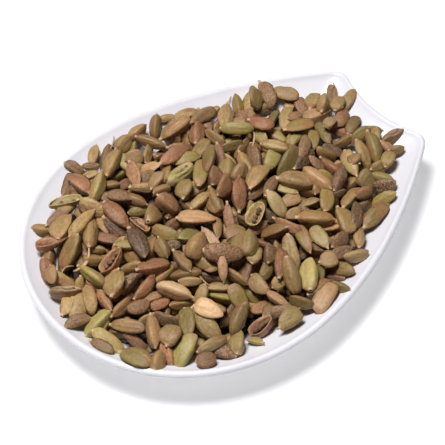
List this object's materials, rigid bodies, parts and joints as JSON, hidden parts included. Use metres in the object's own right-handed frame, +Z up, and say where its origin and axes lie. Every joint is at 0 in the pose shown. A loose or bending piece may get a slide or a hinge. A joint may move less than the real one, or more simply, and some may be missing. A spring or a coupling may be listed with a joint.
{
  "type": "dish of cardamom pods",
  "caption": "Shallow white glazed dish with a round end and a notched end, heaped with dried green and brown cardamom pods.",
  "frame": {"origin": "on the surface the dish stands on, under the middle of the dish's outline", "axes": "+X along the dish from its round end to its notched end, +Y across it, +Z up"},
  "size_m": [0.1995, 0.1524, 0.0324],
  "materials": {
    "glaze": "gloss",
    "pods": "matte"
  },
  "bodies": {
    "root": {"dish": "glaze", "cardamom_heap": "pods"}
  },
  "joints": []
}
